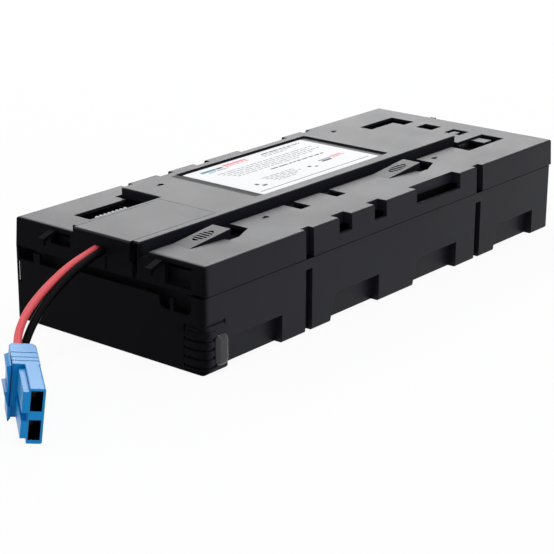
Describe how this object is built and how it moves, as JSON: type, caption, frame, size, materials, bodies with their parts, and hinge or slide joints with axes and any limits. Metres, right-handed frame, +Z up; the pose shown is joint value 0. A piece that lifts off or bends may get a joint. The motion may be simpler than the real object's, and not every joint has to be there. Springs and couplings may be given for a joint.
{
  "type": "ups battery cartridge",
  "caption": "Long flat black battery cartridge with a two-part moulded shell, sealed batteries in series inside, and two leads ending in a two-pole plug.",
  "frame": {"origin": "centre of the tray's flat underside, in the middle of the battery row", "axes": "+Z up from the underside, +Y along the cartridge from the lead end to the far end, +X to the right across it"},
  "size_m": [0.1798, 0.5877, 0.0804],
  "materials": {
    "shell": "satin",
    "label": "matte",
    "battery_case": "matte",
    "terminal": "satin",
    "clip": "satin",
    "red_insulation": "satin",
    "black_insulation": "satin",
    "plug": "satin",
    "contact": "satin"
  },
  "bodies": {
    "root": {"battery_1": "battery_case", "battery_1_negative_clip": "clip", "battery_1_negative_tab": "terminal", "battery_1_positive_clip": "clip", "battery_1_positive_tab": "terminal", "battery_2": "battery_case", "battery_2_negative_clip": "clip", "battery_2_negative_tab": "terminal", "battery_2_positive_clip": "clip", "battery_2_positive_tab": "terminal", "battery_3": "battery_case", "battery_3_negative_clip": "clip", "battery_3_negative_tab": "terminal", "battery_3_positive_clip": "clip", "battery_3_positive_tab": "terminal", "battery_4": "battery_case", "battery_4_negative_clip": "clip", "battery_4_negative_tab": "terminal", "battery_4_positive_clip": "clip", "battery_4_positive_tab": "terminal", "black_lead": "black_insulation", "black_lead_inner": "black_insulation", "label": "label", "lid": "shell", "negative_contact": "contact", "plug_housing": "plug", "positive_contact": "contact", "red_lead": "red_insulation", "red_lead_inner": "red_insulation", "series_jumper_front": "black_insulation", "series_jumper_middle": "black_insulation", "series_jumper_rear": "black_insulation", "tray": "shell", "wire_cover": "shell"}
  },
  "joints": []
}
